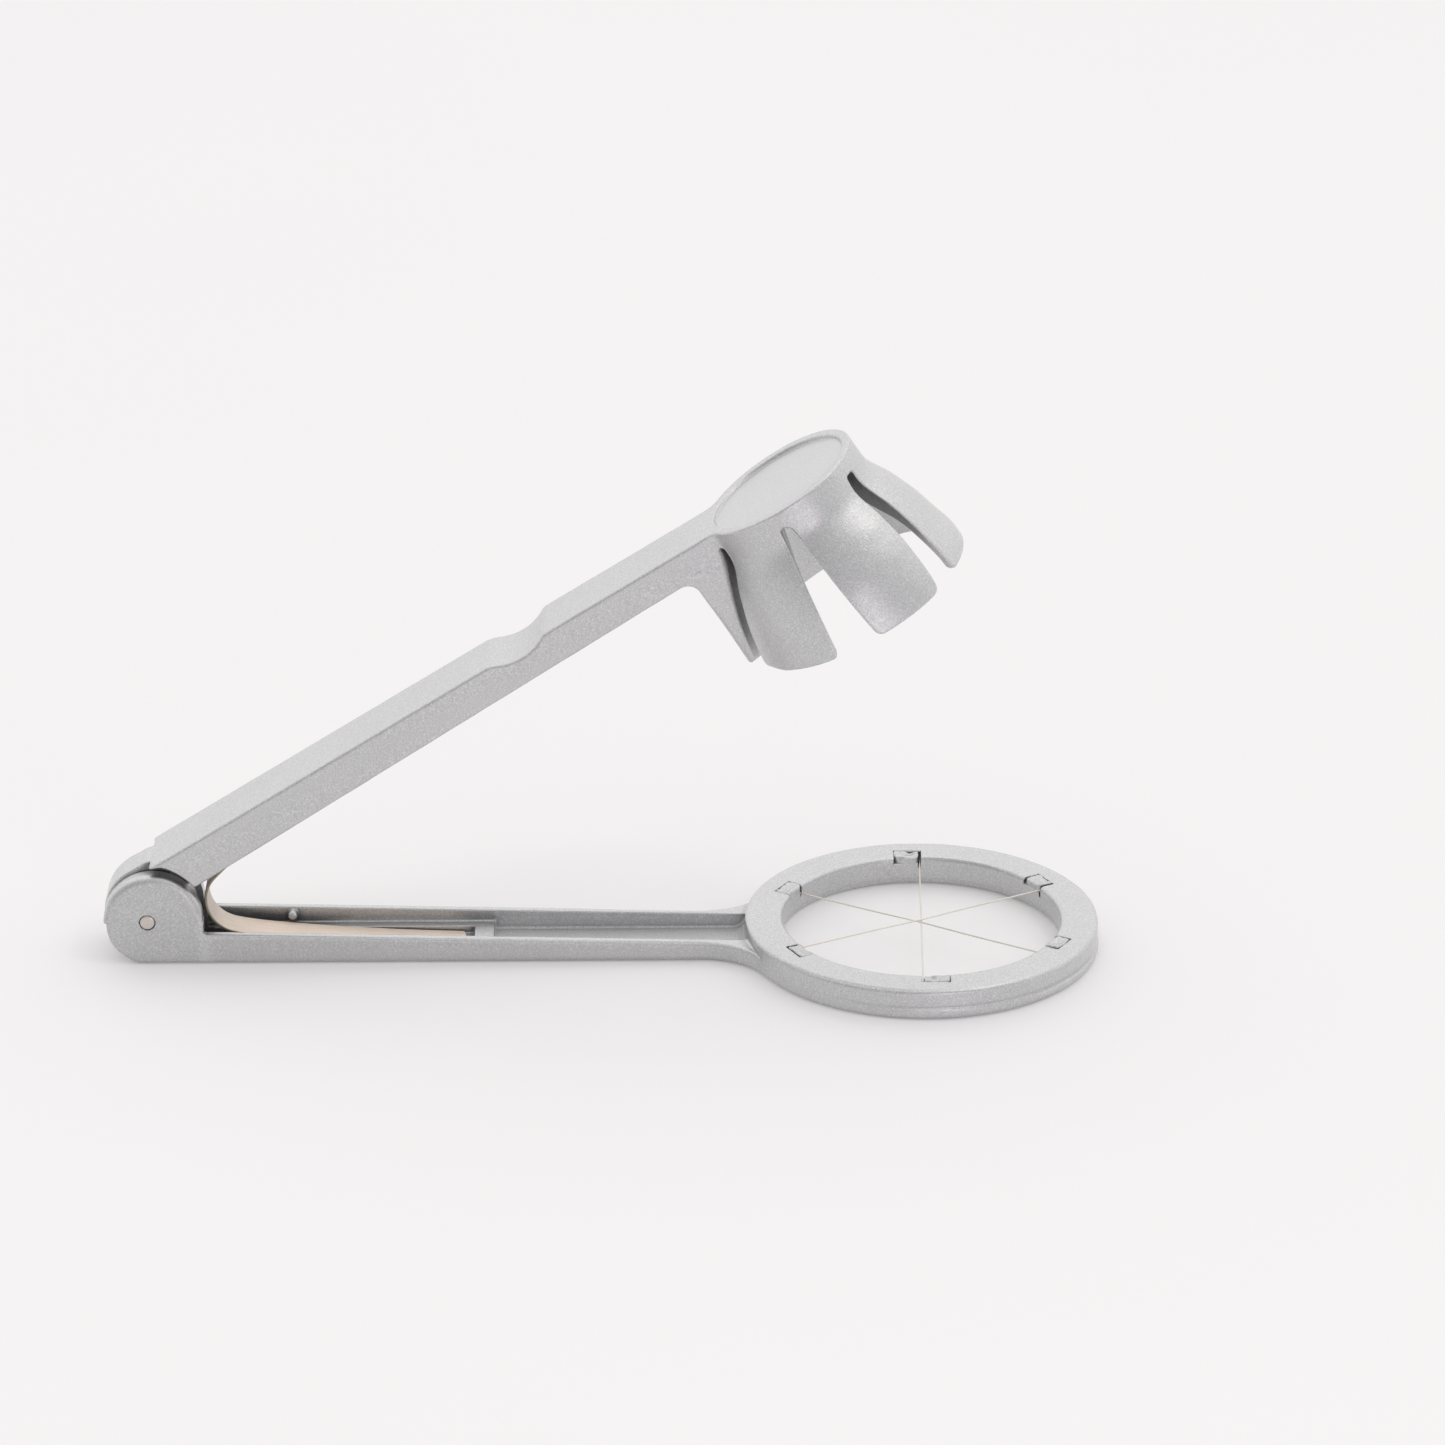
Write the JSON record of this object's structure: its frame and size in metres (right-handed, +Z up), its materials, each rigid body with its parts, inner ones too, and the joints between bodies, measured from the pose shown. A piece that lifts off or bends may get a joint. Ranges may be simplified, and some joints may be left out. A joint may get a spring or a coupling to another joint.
{
  "type": "egg wedge cutter",
  "caption": "Plier-type egg cutter: a wire ring on a channel handle, and a sprung hinged arm whose finger crown pushes the egg through the crossing wires.",
  "frame": {"origin": "on the table under the middle of the open tool's box", "axes": "+X from the hinge to the ring, +Y across, along the hinge pin, +Z up"},
  "size_m": [0.1722, 0.0614, 0.0939],
  "materials": {
    "silver_coat": "cast aluminium under a fine-grained silver metallic coat",
    "steel_pin": "plain steel, faced end",
    "spring_steel": "bright spring strip, slightly warm",
    "wire_steel": "drawn stainless wire",
    "staked_metal": "hammered and coated"
  },
  "bodies": {
    "base": {"base_frame": "silver_coat", "hinge_pin": "steel_pin", "leaf_spring": "spring_steel", "cutting_wire_1": "wire_steel", "cutting_wire_2": "wire_steel", "cutting_wire_3": "wire_steel", "wire_wedge_1": "staked_metal", "wire_wedge_2": "staked_metal", "wire_wedge_3": "staked_metal", "wire_wedge_4": "staked_metal", "wire_wedge_5": "staked_metal", "wire_wedge_6": "staked_metal"},
    "arm": {"presser_arm": "silver_coat"}
  },
  "joints": [
    {"name": "arm_hinge", "type": "hinge", "parent": "base", "child": "arm", "pos_m": [-0.0781, 0, 0.00785], "axis": [0, 1, 0], "range_deg": [0, 34], "stiffness_Nm_per_rad": 0.8, "springref_deg": -8.59, "deforming": ["leaf_spring"]}
  ]
}
